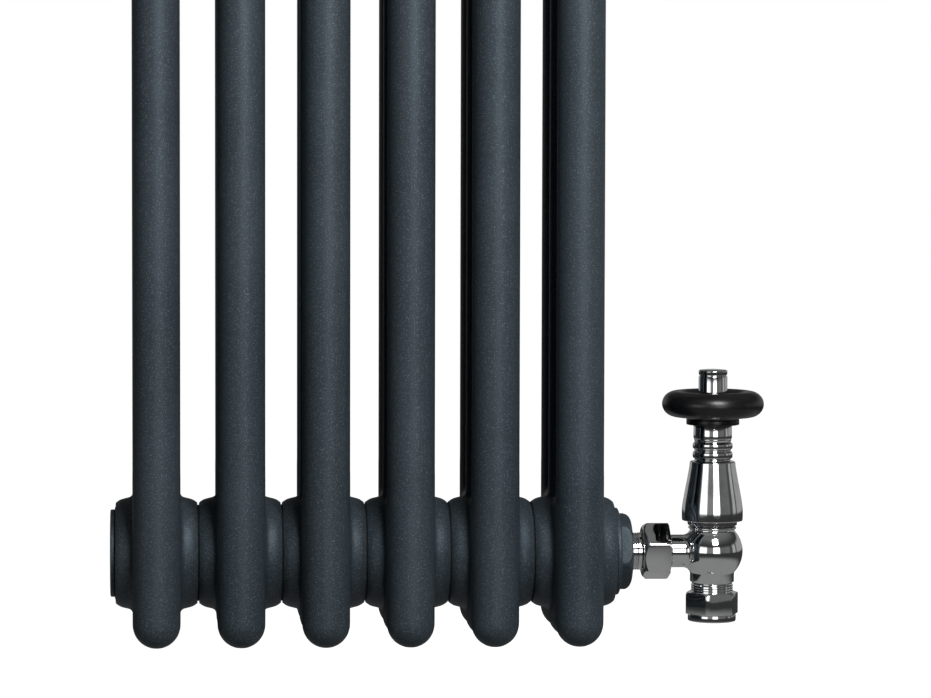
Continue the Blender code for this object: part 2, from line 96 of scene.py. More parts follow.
# ---------------------------------------------------------------- shader arithmetic
class Signal:
    """A shader socket that takes part in Python arithmetic."""

    def __init__(self, graph: "Graph", socket: Optional[NodeSocket]) -> None:
        """Keep the socket and the graph that new Math nodes go into."""
        self.graph = graph
        self.socket = socket

    def __add__(self, other: "Value") -> "Signal":
        """This value plus another."""
        return self.graph.maths("ADD", self, other)

    def __radd__(self, other: "Value") -> "Signal":
        """Another value plus this one."""
        return self.graph.maths("ADD", other, self)

    def __sub__(self, other: "Value") -> "Signal":
        """This value minus another."""
        return self.graph.maths("SUBTRACT", self, other)

    def __rsub__(self, other: "Value") -> "Signal":
        """Another value minus this one."""
        return self.graph.maths("SUBTRACT", other, self)

    def __mul__(self, other: "Value") -> "Signal":
        """This value times another."""
        return self.graph.maths("MULTIPLY", self, other)



Value = Union[Signal, float, Sequence[float]]


class Graph:
    """A node tree with short ways to add and link nodes."""

    def __init__(self, tree: NodeTree) -> None:
        """Start from an empty tree."""
        self.tree = tree
        tree.nodes.clear()

    def node(self, kind: str, settings: Optional[dict[str, Any]] = None,
             inputs: Optional[dict[Union[str, int], Value]] = None, output: Union[str, int] = 0) -> Signal:
        """Add any node.

        Args:
            kind: The node's type name.
            settings: Its own settings, set first. "stops" are a ramp's positions and colours.
            inputs: A constant or a signal for each socket that isn't left alone.
            output: Which output to hand back.

        Returns:
            The chosen output as a signal.
        """
        added = self.tree.nodes.new(kind)
        for key, value in (settings or {}).items():
            if key == "stops":
                self.set_stops(added.color_ramp, value)
            else:
                setattr(added, key, value)
        for key, value in (inputs or {}).items():
            self.feed(added.inputs[key], value)
        return Signal(self, added.outputs[output] if added.outputs else None)

    @staticmethod
    def set_stops(ramp: Any, stops: Sequence[tuple[float, Colour]]) -> None:
        """Give a ramp its stops.

        Args:
            ramp: The ramp to fill.
            stops: Positions from 0 to 1, in order, each with its colour.
        """
        while len(ramp.elements) < len(stops):
            ramp.elements.new(1.0)
        for element, (position, colour) in zip(ramp.elements, stops):
            element.position = position
            element.color = colour

    def feed(self, socket: NodeSocket, value: Value) -> None:
        """Link a signal to a socket, or set a constant on it."""
        if isinstance(value, Signal):
            self.tree.links.new(value.socket, socket)
        else:
            socket.default_value = value

    def maths(self, operation: str, first: Value, second: Value = 0.0) -> Signal:
        """One Math node on two numbers."""
        return self.node("ShaderNodeMath", {"operation": operation}, {0: first, 1: second})

    def place(self) -> Signal:
        """Where a point is on the whole object, because every piece's object sits at the origin."""
        return self.node("ShaderNodeTexCoord", output="Object")

    def stretched(self, place: Signal, scale: Sequence[float]) -> Signal:
        """The same place with each axis scaled, to draw a pattern out along one of them."""
        return self.node("ShaderNodeMapping", {"vector_type": "POINT"}, {"Vector": place, "Scale": scale})

    def noise(self, place: Signal, scale: float, detail: float = 2.0, rough: float = 0.5) -> Signal:
        """Noise from about 0.3 to 0.7 with so many lumps to the metre."""
        return self.node("ShaderNodeTexNoise", {"noise_dimensions": "3D"},
                         {"Vector": place, "Scale": scale, "Detail": detail, "Roughness": rough})

    def between(self, value: Value, low: float, high: float) -> Signal:
        """0 below low, 1 above high and a smooth step between them."""
        return self.node("ShaderNodeMapRange", {"interpolation_type": "SMOOTHSTEP", "clamp": True},
                         {"Value": value, "From Min": low, "From Max": high})

    def blend(self, factor: Value, first: Value, second: Value) -> Signal:
        """The first colour where the factor is 0 and the second where it is 1."""
        return self.node("ShaderNodeMix", {"data_type": "RGBA", "clamp_factor": True},
                         {0: factor, 6: first, 7: second}, output=2)

    def relief(self, height: Value, strength: float, depth: float) -> Signal:
        """A normal for a height pattern that is so many metres deep."""
        return self.node("ShaderNodeBump", None, {"Strength": strength, "Distance": depth, "Height": height})

    def surface(self, inputs: dict[str, Value]) -> None:
        """Add the Principled shader with these inputs, and link it to the output.

        Args:
            inputs: Values or signals by socket name.
        """
        shader = self.node("ShaderNodeBsdfPrincipled", None, inputs)
        self.node("ShaderNodeOutputMaterial", None, {"Surface": shader})


# ---------------------------------------------------------------- finishes
@dataclass(frozen=True)
class Finish:
    """A procedural finish that pieces share."""

    name: str
    slot: Slot

    def material(self) -> Material:
        """The finish's material, made the first time that it is asked for.

        Returns:
            The material.
        """
        made = bpy.data.materials.get(self.name)
        if made is None:
            made = bpy.data.materials.new(self.name)
            made.use_nodes = True
            self.shade(Graph(made.node_tree))
        return made

    def shade(self, graph: Graph) -> None:
        """Fill the material's node tree."""
        raise NotImplementedError


@dataclass(frozen=True)
class PowderCoat(Finish):
    """Baked powder paint: a fine leathery skin with small paler flecks in it."""

    name: str = "anthracite_powder_finish"
    slot: Slot = Slot.PAINT
    deep: Colour = (0.044, 0.060, 0.073, 1.0)
    pale: Colour = (0.060, 0.080, 0.096, 1.0)
    fleck: Colour = (0.175, 0.212, 0.240, 1.0)
    fleck_scale: float = 1350.0
    skin_scale: float = 620.0
    cloud_scale: float = 14.0
    roughness: float = 0.52
    metal: float = 0.4

    def shade(self, graph: Graph) -> None:
        """Flecks and clouds in the colour and the roughness, a leathery skin in the relief, and painted shade that
        darkens the skin's hollows.
        """
        place = graph.place()
        grain = graph.noise(place, self.fleck_scale, 2.0, 0.6)
        skin = graph.noise(place, self.skin_scale, 2.0, 0.45)
        cloud = graph.noise(place, self.cloud_scale, 4.0, 0.6)
        ground = graph.blend(graph.between(cloud, 0.30, 0.70), self.deep, self.pale)
        flecked = graph.blend(graph.between(grain, 0.52, 0.67) * 0.56, ground, self.fleck)
        # Painted shade: where the skin noise is low, in the hollows of the bump relief, the colour is pulled towards
        # the deep tone.
        shaded_hollows = graph.blend(graph.between(skin, 0.46, 0.30) * 0.35, flecked, self.deep)
        graph.surface({
            "Base Color": shaded_hollows,
            "Roughness": self.roughness + (grain - 0.5) * 0.30 + (cloud - 0.5) * 0.10,
            "Metallic": self.metal,
            "Specular IOR Level": 0.25,
            "Normal": graph.relief(skin * 0.75 + grain * 0.25, 0.34, 0.00022),
        })


@dataclass(frozen=True)
class PolishedChrome(Finish):
    """Mirror plating over buffed brass, with faint turning lines and a few handling marks."""

    name: str = "polished_chrome_plate"
    slot: Slot = Slot.CHROME
    dull: Colour = (0.66, 0.67, 0.68, 1.0)
    bright: Colour = (0.80, 0.805, 0.81, 1.0)
    roughness: float = 0.035

    def shade(self, graph: Graph) -> None:
        """Handling marks dull the mirror a little, and turning lines and ripples bend it."""
        place = graph.place()
        marks = graph.noise(place, 90.0, 5.0, 0.62)
        ripple = graph.noise(place, 210.0, 1.0, 0.4)
        lines = graph.noise(graph.stretched(place, (60.0, 60.0, 2600.0)), 1.0, 2.0, 0.5)
        dulled = graph.between(marks, 0.46, 0.72)
        graph.surface({
            "Base Color": graph.blend(dulled, self.bright, self.dull),
            "Metallic": 1.0,
            "Roughness": self.roughness + dulled * 0.06 + lines * 0.025,
            "Normal": graph.relief(ripple * 0.8 + lines * 0.2, 0.10, 0.00006),
        })


@dataclass(frozen=True)
class SatinBlack(Finish):
    """Moulded handwheel with a satin skin: fine pores, and a soft worn sheen."""

    name: str = "satin_black_moulding"
    slot: Slot = Slot.BLACK
    ground: Colour = (0.0040, 0.0040, 0.0043, 1.0)
    rubbed: Colour = (0.011, 0.011, 0.0115, 1.0)
    roughness: float = 0.33

    def shade(self, graph: Graph) -> None:
        """Pores in the relief, rubbed patches in the colour and the roughness."""
        place = graph.place()
        pores = graph.noise(place, 1900.0, 3.0, 0.6)
        rub = graph.noise(place, 70.0, 4.0, 0.55)
        worn = graph.between(rub, 0.40, 0.68)
        graph.surface({
            "Base Color": graph.blend(worn, self.ground, self.rubbed),
            "Roughness": self.roughness + (pores - 0.5) * 0.20 - worn * 0.05,
            "Normal": graph.relief(pores, 0.22, 0.00010),
        })


@dataclass(frozen=True)
class TurnedMetal(Finish):
    """Machined metal: tool lines round the work, and a tarnish that varies."""

    fresh: Colour = (0.78, 0.60, 0.28, 1.0)
    tarnished: Colour = (0.52, 0.37, 0.15, 1.0)
    roughness: float = 0.24

    def shade(self, graph: Graph) -> None:
        """Tool lines in the relief and the roughness, tarnish in the colour."""
        place = graph.place()
        lines = graph.noise(graph.stretched(place, (90.0, 90.0, 4200.0)), 1.0, 2.0, 0.6)
        stain = graph.between(graph.noise(place, 160.0, 5.0, 0.6), 0.38, 0.70)
        graph.surface({
            "Base Color": graph.blend(stain, self.fresh, self.tarnished),
            "Metallic": 1.0,
            "Roughness": self.roughness + stain * 0.14 + (lines - 0.5) * 0.16,
            "Normal": graph.relief(lines, 0.25, 0.00004),
        })


@dataclass(frozen=True)
class PressedSeal(Finish):
    """Rubber or fibre sheet: matt, with specks and a felted surface."""

    ground: Colour = (0.012, 0.012, 0.012, 1.0)
    speck: Colour = (0.035, 0.034, 0.033, 1.0)
    roughness: float = 0.80

    def shade(self, graph: Graph) -> None:
        """Specks in the colour and a felted relief."""
        place = graph.place()
        felt = graph.noise(place, 1500.0, 4.0, 0.7)
        graph.surface({
            "Base Color": graph.blend(graph.between(felt, 0.48, 0.68), self.ground, self.speck),
            "Roughness": self.roughness + (felt - 0.5) * 0.25,
            "Normal": graph.relief(felt, 0.4, 0.00015),
        })


PAINT = PowderCoat()
CHROME = PolishedChrome()
BLACK = SatinBlack()
BRASS = TurnedMetal("machined_brass_finish", Slot.BRASS)
STEEL = TurnedMetal("plated_steel_finish", Slot.STEEL, (0.62, 0.62, 0.61, 1.0), (0.42, 0.41, 0.39, 1.0), 0.30)
RUBBER = PressedSeal("black_rubber_finish", Slot.RUBBER)
FIBRE = PressedSeal("dark_fibre_finish", Slot.FIBRE, (0.006, 0.006, 0.006, 1.0), (0.016, 0.016, 0.016, 1.0), 0.90)


# ---------------------------------------------------------------- modelling
def arc(centre: Point, radii: Point, start: float, stop: float, steps: int) -> list[Point]:
    """Points along part of an ellipse.

    Args:
        centre: Its centre.
        radii: Its two half axes.
        start: First angle in degrees.
        stop: Last angle in degrees.
        steps: How many spans to make.

    Returns:
        The points, with both ends.
    """
    angles = [math.radians(start + (stop - start) * step / steps) for step in range(steps + 1)]
    return [(centre[0] + radii[0] * math.cos(a), centre[1] + radii[1] * math.sin(a)) for a in angles]


def flowing(points: Sequence[Point], spans: int = 5) -> list[Point]:
    """A smooth curve through points.

    Args:
        points: What it passes through.
        spans: How many short spans replace each long one.

    Returns:
        The curve's points, with both ends.
    """
    ends = [points[0], *points, points[-1]]
    curve = []
    for before, here, there, after in zip(ends, ends[1:], ends[2:], ends[3:]):
        for step in range(spans):
            t = step / spans
            weights = (-t ** 3 + 2 * t ** 2 - t, 3 * t ** 3 - 5 * t ** 2 + 2,
                       -3 * t ** 3 + 4 * t ** 2 + t, t ** 3 - t ** 2)
            four = (before, here, there, after)
            curve.append(tuple(sum(w * p[k] for w, p in zip(weights, four)) / 2 for k in (0, 1)))
    return [*curve, points[-1]]


def thread(crest: float, root: float, start: float, stop: float, pitch: float) -> list[Point]:
    """The ridges of a screw thread, drawn as rings.

    Args:
        crest: Radius at the top of a ridge.
        root: Radius between ridges.
        start: Height of the first ridge.
        stop: Height of the last one.
        pitch: From one ridge to the next.

    Returns:
        The outline's points.
    """
    count = max(1, round(abs(stop - start) / pitch))
    step = (stop - start) / count
    points = []
    for turn in range(count):
        low = start + turn * step
        points += [(root, low), (crest, low + 0.40 * step), (crest, low + 0.60 * step)]
    return [*points, (root, stop)]


class Workbench:
    """Modelling moves made with Blender's own operators."""

    @staticmethod
    def clear() -> None:
        """Leave edit mode with nothing selected."""
        if bpy.context.mode != "OBJECT":
            bpy.ops.object.mode_set(mode="OBJECT")
        bpy.ops.object.select_all(action="DESELECT")

    def pick(self, *pieces: Object) -> Object:
        """Select only these pieces and make the first one active.

        Args:
            pieces: What to select.

        Returns:
            The first piece.
        """
        self.clear()
        for piece in pieces:
            piece.select_set(True)
        bpy.context.view_layer.objects.active = pieces[0]
        return pieces[0]

    def edit(self, piece: Object, mode: str = "VERT") -> None:
        """Open a piece in edit mode with this kind of selection."""
        self.pick(piece)
        bpy.ops.object.mode_set(mode="EDIT")
        bpy.ops.mesh.select_mode(type=mode)

    @staticmethod
    def close() -> None:
        """Go back to object mode."""
        bpy.ops.object.mode_set(mode="OBJECT")

    @staticmethod
    def choose_faces(piece: Object, wanted: Callable[[Vector, Vector], bool]) -> None:
        """Select a piece's faces by their middle and normal, in object mode.

        Args:
            piece: Where to choose.
            wanted: Says yes or no to a face's middle and normal.
        """
        mesh = piece.data
        for part in (*mesh.vertices, *mesh.edges):
            part.select = False
        for face in mesh.polygons:
            face.select = wanted(face.center, face.normal)

    @staticmethod
    def choose_edges(piece: Object, wanted: Callable[[Vector, Vector], bool]) -> None:
        """Select a piece's edges by their two ends, in object mode.

        Args:
            piece: Where to choose.
            wanted: Says yes or no to an edge's two ends.
        """
        mesh = piece.data
        for part in (*mesh.vertices, *mesh.polygons):
            part.select = False
        for edge in mesh.edges:
            edge.select = wanted(*[mesh.vertices[index].co for index in edge.vertices])

    def settle(self, piece: Object, place: Matrix = UPRIGHT) -> Object:
        """Turn and move a piece, and put its place in its mesh.

        Args:
            piece: What to move.
            place: Where to.

        Returns:
            The piece.
        """
        piece.matrix_world = place @ piece.matrix_world
        self.pick(piece)
        bpy.ops.object.transform_apply(location=True, rotation=True, scale=True)
        return piece

    def weld(self, piece: Object) -> Object:
        """Merge doubled points and point every face outwards.

        Args:
            piece: What to clean.

        Returns:
            The piece.
        """
        self.edit(piece)
        bpy.ops.mesh.select_all(action="SELECT")
        bpy.ops.mesh.remove_doubles(threshold=MERGE)
        bpy.ops.mesh.dissolve_degenerate(threshold=MERGE / 2)
        bpy.ops.mesh.select_all(action="SELECT")
        bpy.ops.mesh.normals_make_consistent(inside=False)
        self.close()
        return piece

    def turned(self, outline: Sequence[Point], place: Matrix = UPRIGHT, steps: int = 96,
               hollow: bool = False) -> Object:
        """Draw an outline point by point and spin it round the piece's own Z axis.

        Args:
            outline: Radius and height in millimetres. It starts and ends on the axis unless it is hollow.
            place: Where the axis goes.
            steps: How many sides the round has.
            hollow: Close the outline on itself, for a ring.

        Returns:
            The turned piece.
        """
        points = [Vector((radius * MM, 0.0, height * MM)) for radius, height in outline]
        if hollow:
            points.append(points[0])
        self.clear()
        bpy.ops.mesh.primitive_plane_add(size=MM)
        piece = bpy.context.object
        bpy.ops.object.mode_set(mode="EDIT")
        bpy.ops.mesh.select_mode(type="VERT")
        bpy.ops.mesh.select_all(action="SELECT")
        bpy.ops.mesh.merge(type="CENTER")
        bpy.ops.transform.translate(value=points[0])
        for here, there in zip(points, points[1:]):
            bpy.ops.mesh.extrude_vertices_move(TRANSFORM_OT_translate={"value": there - here})
        bpy.ops.mesh.select_all(action="SELECT")
        bpy.ops.mesh.spin(steps=steps, angle=math.tau, center=(0, 0, 0), axis=(0, 0, 1))
        self.close()
        self.weld(piece)
        return self.settle(piece, place)

    def rod(self, radius: float, low: float, high: float, place: Matrix = UPRIGHT, steps: int = 64) -> Object:
        """A plain round helper for boring holes, in millimetres."""
        return self.turned([(0, low), (radius, low), (radius, high), (0, high)], place, steps)

    def prism(self, sides: int, radius: float, low: float, high: float, turn: float, place: Matrix = UPRIGHT) -> Object:
        """A straight bar with flat sides, in millimetres.

        Args:
            sides: How many flats.
            radius: From the axis to a corner.
            low: Height of one end.
            high: Height of the other.
            turn: Direction of a corner in degrees.
            place: Where the axis goes.

        Returns:
            The bar.
        """
        self.clear()
        bpy.ops.mesh.primitive_cylinder_add(vertices=sides, radius=radius * MM, depth=(high - low) * MM,
                                            location=(0, 0, (high + low) / 2 * MM),
                                            rotation=(0, 0, math.radians(turn - 90)))
        return self.settle(bpy.context.object, place)

    def round_uprights(self, piece: Object, width: float, segments: int) -> Object:
        """Bevel the long corners of an upright bar.

        Args:
            piece: The bar, still about the Z axis.
            width: Width of the bevel in millimetres.
            segments: How many steps round it has.

        Returns:
            The bar.
        """
        self.choose_edges(piece, lambda a, b: (a - b).xy.length < MERGE)
        self.edit(piece, "EDGE")
        bpy.ops.mesh.bevel(offset=width * MM, segments=segments, profile=0.5, affect="EDGES")
        self.close()
        return piece

    def hexagonal(self, radius: float, envelope: Sequence[Point], turn: float, place: Matrix,
                  corner: float = 0.5, segments: int = 3) -> Object:
        """A hexagonal nut blank: a six-sided bar with rounded corners, turned down to an envelope.

        Args:
            radius: From the axis to a corner, in millimetres.
            envelope: The outline that its ends are turned down to.
            turn: Direction of a corner in degrees.
            place: Where the axis goes.
            corner: Width of the rounding along the long corners.
            segments: How many steps that rounding has.

        Returns:
            The blank.
        """
        low = min(height for _, height in envelope)
        high = max(height for _, height in envelope)
        bar = self.prism(6, radius, low - 1, high + 1, turn)
        self.round_uprights(bar, corner, segments)
        self.shape(bar, self.turned(envelope), Cut.KEEP)
        return self.settle(bar, place)

    def shape(self, piece: Object, helper: Object, cut: Cut) -> Object:
        """Join, remove or keep what a helper solid covers, and throw the helper away.

        Args:
            piece: What is worked on.
            helper: The solid that does it.
            cut: What it does.

        Returns:
            The piece.
        """
        modifier = piece.modifiers.new("shape", "BOOLEAN")
        modifier.operation = cut.value
        modifier.solver = "EXACT"
        modifier.object = helper
        self.pick(piece)
        bpy.ops.object.modifier_apply(modifier=modifier.name)
        bpy.data.objects.remove(helper, do_unlink=True)
        return self.weld(piece)

    def soften(self, piece: Object, width: float, segments: int = 2, angle: float = 28.0) -> Object:
        """Break a piece's sharp edges.

        Args:
            piece: What to soften.
            width: Width of the bevel in millimetres.
            segments: How many steps round it has.
            angle: Edges sharper than this, in degrees, are bevelled.

        Returns:
            The piece.
        """
        modifier = piece.modifiers.new("soften", "BEVEL")
        modifier.width = width * MM
        modifier.segments = segments
        modifier.limit_method = "ANGLE"
        modifier.angle_limit = math.radians(angle)
        modifier.use_clamp_overlap = True
        self.pick(piece)
        bpy.ops.object.modifier_apply(modifier=modifier.name)
        return self.weld(piece)

    def merge(self, *pieces: Object) -> Object:
        """Make one object of several.

        Args:
            pieces: What to join, the first of which stays.

        Returns:
            The joined object.
        """
        self.pick(*pieces)
        bpy.ops.object.join()
        return pieces[0]

    def copy(self, piece: Object, place: Matrix) -> Object:
        """A copy of a piece with its own mesh, at another place.

        Args:
            piece: What to copy.
            place: How to turn and move the copy.

        Returns:
            The copy.
        """
        self.pick(piece)
        bpy.ops.object.duplicate(linked=False)
        return self.settle(bpy.context.object, place)

    def deliver(self, piece: Object, name: str, finish: Finish, body: Body, nodes: Sequence[str] = (),
                crease: float = 32.0) -> Object:
        """Name, smooth, paint and mount a finished piece.

        Args:
            piece: The finished mesh, in place.
            name: Its name.
            finish: What it is finished in.
            body: The body that it rides on.
            nodes: The CAD nodes that it stands for.
            crease: Edges sharper than this, in degrees, stay crisp.

        Returns:
            The piece.
        """
        piece.name = name
        piece.data.name = name
        self.pick(piece)
        bpy.ops.object.shade_smooth_by_angle(angle=math.radians(crease))
        piece.data.materials.clear()
        piece.data.materials.append(finish.material())
        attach(piece, body.value)
        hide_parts(*nodes)
        log.info("%s: %d faces, %s", name, len(piece.data.polygons), finish.name)
        return piece


bench = Workbench()


# ---------------------------------------------------------------- radiator block
@dataclass
class RadiatorBlock:
    """Welded sections of three tubes each between two pressed heads, clamped together at round hubs."""

    count: int = 6
    pitch: float = 45.0
    tube_radius: float = 12.7
    tube_swell: float = 0.12
    web_swell: float = 0.06
    end_swell: float = 0.15
    column_step: float = 38.0
    hub_to_end: float = 46.5
    head_rise: float = 36.0
    hub_face: float = 22.0
    hub_rim: float = 26.3
    hub_bore: float = 21.2
    pocket: float = 20.0
    ring_bore: float = 21.1
    section_ring: float = 26.0
    end_ring: float = 24.8
    ring_play: float = 0.03
    arch: float = 0.8
    voxel: float = 1.15
    melt: int = 9
    tube_sides: int = 72
    seam: float = 44.0

    def __post_init__(self) -> None:
        """Read where the block is from the CAD sections."""
        low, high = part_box("section_1")
        self.middle_y = (low.y + high.y) / 2
        self.lower_z = low.z + self.hub_to_end * MM
        self.upper_z = high.z - self.hub_to_end * MM
        self.half_height = (self.upper_z - self.lower_z) / 2

    def centre(self, number: int) -> float:
        """The X of a section's middle plane."""
        low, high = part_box(f"section_{number}")
        return (low.x + high.x) / 2

    def capsule(self, row: int) -> Object:
        """One tube's lower end with its round bottom, a little large because melting draws it in."""
        radius = self.tube_radius + self.tube_swell
        bottom = arc((0, -self.hub_to_end - self.end_swell + radius), (radius, radius), -90, 0, 20)
        outline = [*bottom, (radius, self.seam + 6), (0, self.seam + 6)]
        return bench.turned(outline, Matrix.Translation((0, row * self.column_step * MM, 0)), 64)

    def web(self) -> Object:
        """The pressed body between the tubes: a long bar with a round underside and a round top edge.

        Returns:
            The bar.
        """
        radius = self.tube_radius + self.web_swell
        low = -self.hub_to_end + self.arch + radius
        high = self.head_rise - radius
        bench.clear()
        bpy.ops.mesh.primitive_cylinder_add(vertices=64, radius=radius * MM, depth=2 * self.column_step * MM,
                                            location=(0, 0, low * MM), rotation=(math.pi / 2, 0, 0))
        bar = bench.settle(bpy.context.object)
        chosen = [v.index for v in bar.data.vertices if v.co.z > (low + 0.1) * MM]
        bench.edit(bar)
        bpy.ops.mesh.select_all(action="DESELECT")
        bench.close()
        for index in chosen:
            bar.data.vertices[index].select = True
        bench.edit(bar)
        bpy.ops.transform.translate(value=(0, 0, (high - low) * MM))
        bench.close()
        return bar

    def hub(self) -> Object:
        """The round boss through a head, drawn past its two faces so that melting leaves them crisp."""
        half = [(25.2, 26.0), (26.0, 23.5), (26.8, 22.3), (27.8, 21.4), (28.8, 20.0), (29.6, 17.4), (30.1, 15.0),
                (30.4, 12.6), (30.5, 10.0)]
        outline = [(0, 26.0), *half, *[(radius, -height) for radius, height in reversed(half)], (0, -26.0)]
        return bench.turned(outline, ALONG_X, 128)

    def head(self) -> Object:
        """A lower head: everything melted together, cut flat at the hub faces and open at the tubes.

        Returns:
            The head about its own hub centre.
        """
        head = bench.merge(self.hub(), self.web(), *[self.capsule(row) for row in (-1, 0, 1)])
        remesh = head.modifiers.new("melt", "REMESH")
        remesh.mode = "VOXEL"
        remesh.voxel_size = self.voxel * MM
        smooth = head.modifiers.new("smooth", "SMOOTH")
        smooth.factor = 0.5
        smooth.iterations = self.melt
        bench.pick(head)
        bpy.ops.object.modifier_apply(modifier=remesh.name)
        bpy.ops.object.modifier_apply(modifier=smooth.name)
        for side in (1, -1):
            bench.edit(head)
            bpy.ops.mesh.select_all(action="SELECT")
            bpy.ops.mesh.bisect(plane_co=(side * self.hub_face * MM, 0, 0), plane_no=(side, 0, 0),
                                use_fill=True, clear_outer=True)
            bench.close()
        bench.edit(head)
        bpy.ops.mesh.select_all(action="SELECT")
        bpy.ops.mesh.bisect(plane_co=(0, 0, self.seam * MM), plane_no=(0, 0, 1), use_fill=False, clear_outer=True)
        bench.close()
        for side in (1, -1):
            self.open_hub(head, side)
        return head

    def open_hub(self, head: Object, side: int) -> None:
        """Sink a hub's bore in from its face, for the nipple that joins two sections.

        Args:
            head: The head.
            side: Which face, 1 or -1.
        """
        face = self.hub_face * MM
        bench.choose_faces(head, lambda middle, normal: abs(middle.x * side - face) < 1e-5 and normal.x * side > 0.9)
        bench.edit(head, "FACE")
        bpy.ops.mesh.inset(thickness=(self.hub_rim - self.hub_bore) * MM, use_even_offset=True)
        bpy.ops.mesh.extrude_region_move(TRANSFORM_OT_translate={"value": (-side * self.pocket * MM, 0, 0)})
        bench.close()

    def half_section(self) -> Object:
        """A lower head with its three tubes up to the section's middle height.

        Returns:
            The half section about its own hub centre.
        """
        head = self.head()
        tubes = []
        low = (self.seam + 5) * MM
        for row in (-1, 0, 1):
            bench.clear()
            bpy.ops.mesh.primitive_cylinder_add(
                vertices=self.tube_sides, radius=self.tube_radius * MM, depth=self.half_height - low,
                end_fill_type="NOTHING", location=(0, row * self.column_step * MM, (self.half_height + low) / 2))
            tubes.append(bench.settle(bpy.context.object))
        half = bench.merge(head, *tubes)
        for row in (-1, 0, 1):
            self.bridge(half, row * self.column_step * MM)
        return bench.weld(half)

    def bridge(self, half: Object, row_y: float) -> None:
        """Join a tube to the ring that the head leaves open for it.

        Args:
            half: The half section.
            row_y: The tube's place.
        """
        bench.edit(half, "EDGE")
        bpy.ops.mesh.select_all(action="DESELECT")
        bpy.ops.mesh.select_non_manifold(extend=False, use_wire=False, use_boundary=True, use_multi_face=False,
                                         use_non_contiguous=False, use_verts=False)
        bench.close()
        mesh = half.data
        reach = self.column_step / 2 * MM
        top = (self.seam + 6) * MM
        for edge in mesh.edges:
            middle = (mesh.vertices[edge.vertices[0]].co + mesh.vertices[edge.vertices[1]].co) / 2
            edge.select = edge.select and abs(middle.y - row_y) < reach and middle.z < top
        for vertex in mesh.vertices:
            vertex.select = False
        for face in mesh.polygons:
            face.select = False
        bench.edit(half, "EDGE")
        bpy.ops.mesh.bridge_edge_loops()
        bench.close()

    def section(self) -> Object:
        """A whole section at X = 0: the half section, and the same again upside down.

        Returns:
            The section, in place but for its X.
        """
        lower = self.half_section()
        turn = Matrix.Translation((0, 0, 2 * self.half_height)) @ Matrix.Rotation(math.pi, 4, "X")
        whole = bench.merge(lower, bench.copy(lower, turn))
        bench.weld(whole)
        return bench.settle(whole, Matrix.Translation((0, self.middle_y, self.lower_z)))

    def gasket(self, outer: float, name: str) -> None:
        """A thin pressed ring that fills the gap between two flat faces, with a slightly bulged rim.

        Args:
            outer: Its outer radius.
            name: The CAD ring that it stands for.
        """
        low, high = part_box(name)
        middle = (low + high) / 2
        half = self.pitch / 2 - self.hub_face - self.ring_play
        end = self.count * self.pitch / 2
        if abs(middle.x) > (end - self.pitch / 2) * MM:
            half /= 2
            middle.x = math.copysign(end - half - self.ring_play, middle.x) * MM
        rim = arc((outer - 0.3, 0), (0.3, half), -90, 90, 8)
        place = Matrix.Translation(middle) @ ALONG_X
        ring = bench.turned([(self.ring_bore, -half), *rim, (self.ring_bore, half)], place, 96, hollow=True)
        bench.deliver(ring, f"{name}_ring", FIBRE, Body.RADIATOR, [name])

    def build(self) -> None:
        """Model one section and copy it, then the rings between the sections."""
        first = self.section()
        for number in range(1, self.count + 1):
            place = Matrix.Translation((self.centre(number), 0, 0))
            piece = bench.copy(first, place)
            bench.deliver(piece, f"radiator_section_{number}", PAINT, Body.RADIATOR, [f"section_{number}"])
        bpy.data.objects.remove(first, do_unlink=True)
        for level in ("upper", "lower"):
            for number in range(1, self.count):
                name = f"gasket_{level}_{number}"
                self.gasket(self.section_ring, name)
        for name in ("valve_bush_gasket", "plug_lower_left_gasket", "plug_upper_right_gasket", "vent_bush_gasket"):
            self.gasket(self.end_ring, name)


